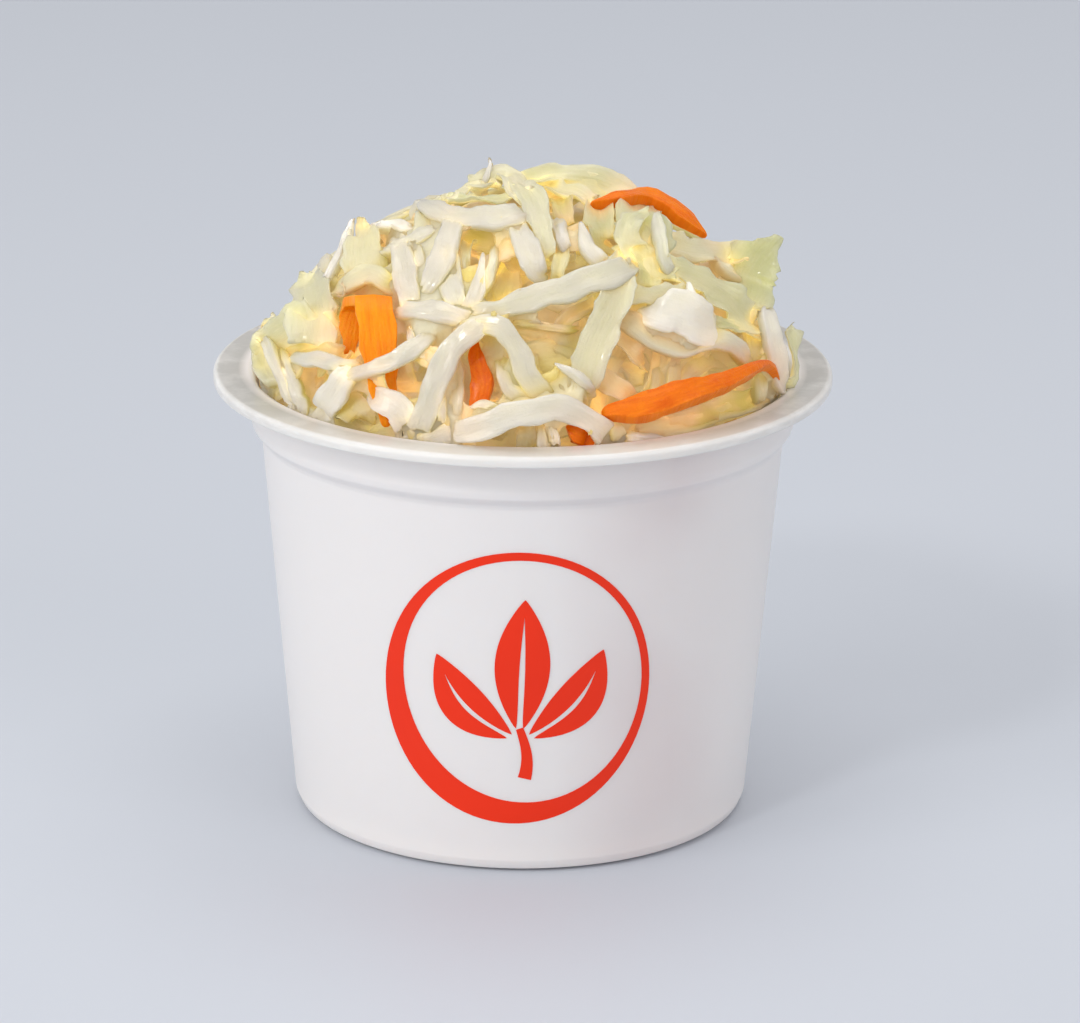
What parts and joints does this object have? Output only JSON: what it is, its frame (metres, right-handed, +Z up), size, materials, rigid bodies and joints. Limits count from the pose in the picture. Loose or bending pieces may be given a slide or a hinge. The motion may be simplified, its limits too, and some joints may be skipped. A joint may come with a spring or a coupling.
{
  "type": "coleslaw in a plastic cup",
  "caption": "Shredded cabbage and carrot salad heaped in a tapered white plastic portion cup with a wide rim.",
  "frame": {"origin": "centre of the cup's foot, on the surface that it stands on", "axes": "+Z up along the cup's axis; the front of the heap faces -Y; +X to the right seen from the front"},
  "size_m": [0.075, 0.075, 0.0802],
  "materials": {
    "cup_plastic": "thin white translucent polypropylene, soft gloss",
    "cabbage": "pale cream and light green cabbage, moist with dressing",
    "carrot": "moist orange carrot"
  },
  "bodies": {
    "root": {"cup": "cup_plastic", "coleslaw": "cabbage", "carrot_ribbon": "carrot", "carrot_long": "carrot", "carrot_arch": "carrot", "carrot_sliver": "carrot", "carrot_low": "carrot", "carrot_right": "carrot", "carrot_back": "carrot", "carrot_behind": "carrot", "carrot_left": "carrot"}
  },
  "joints": []
}
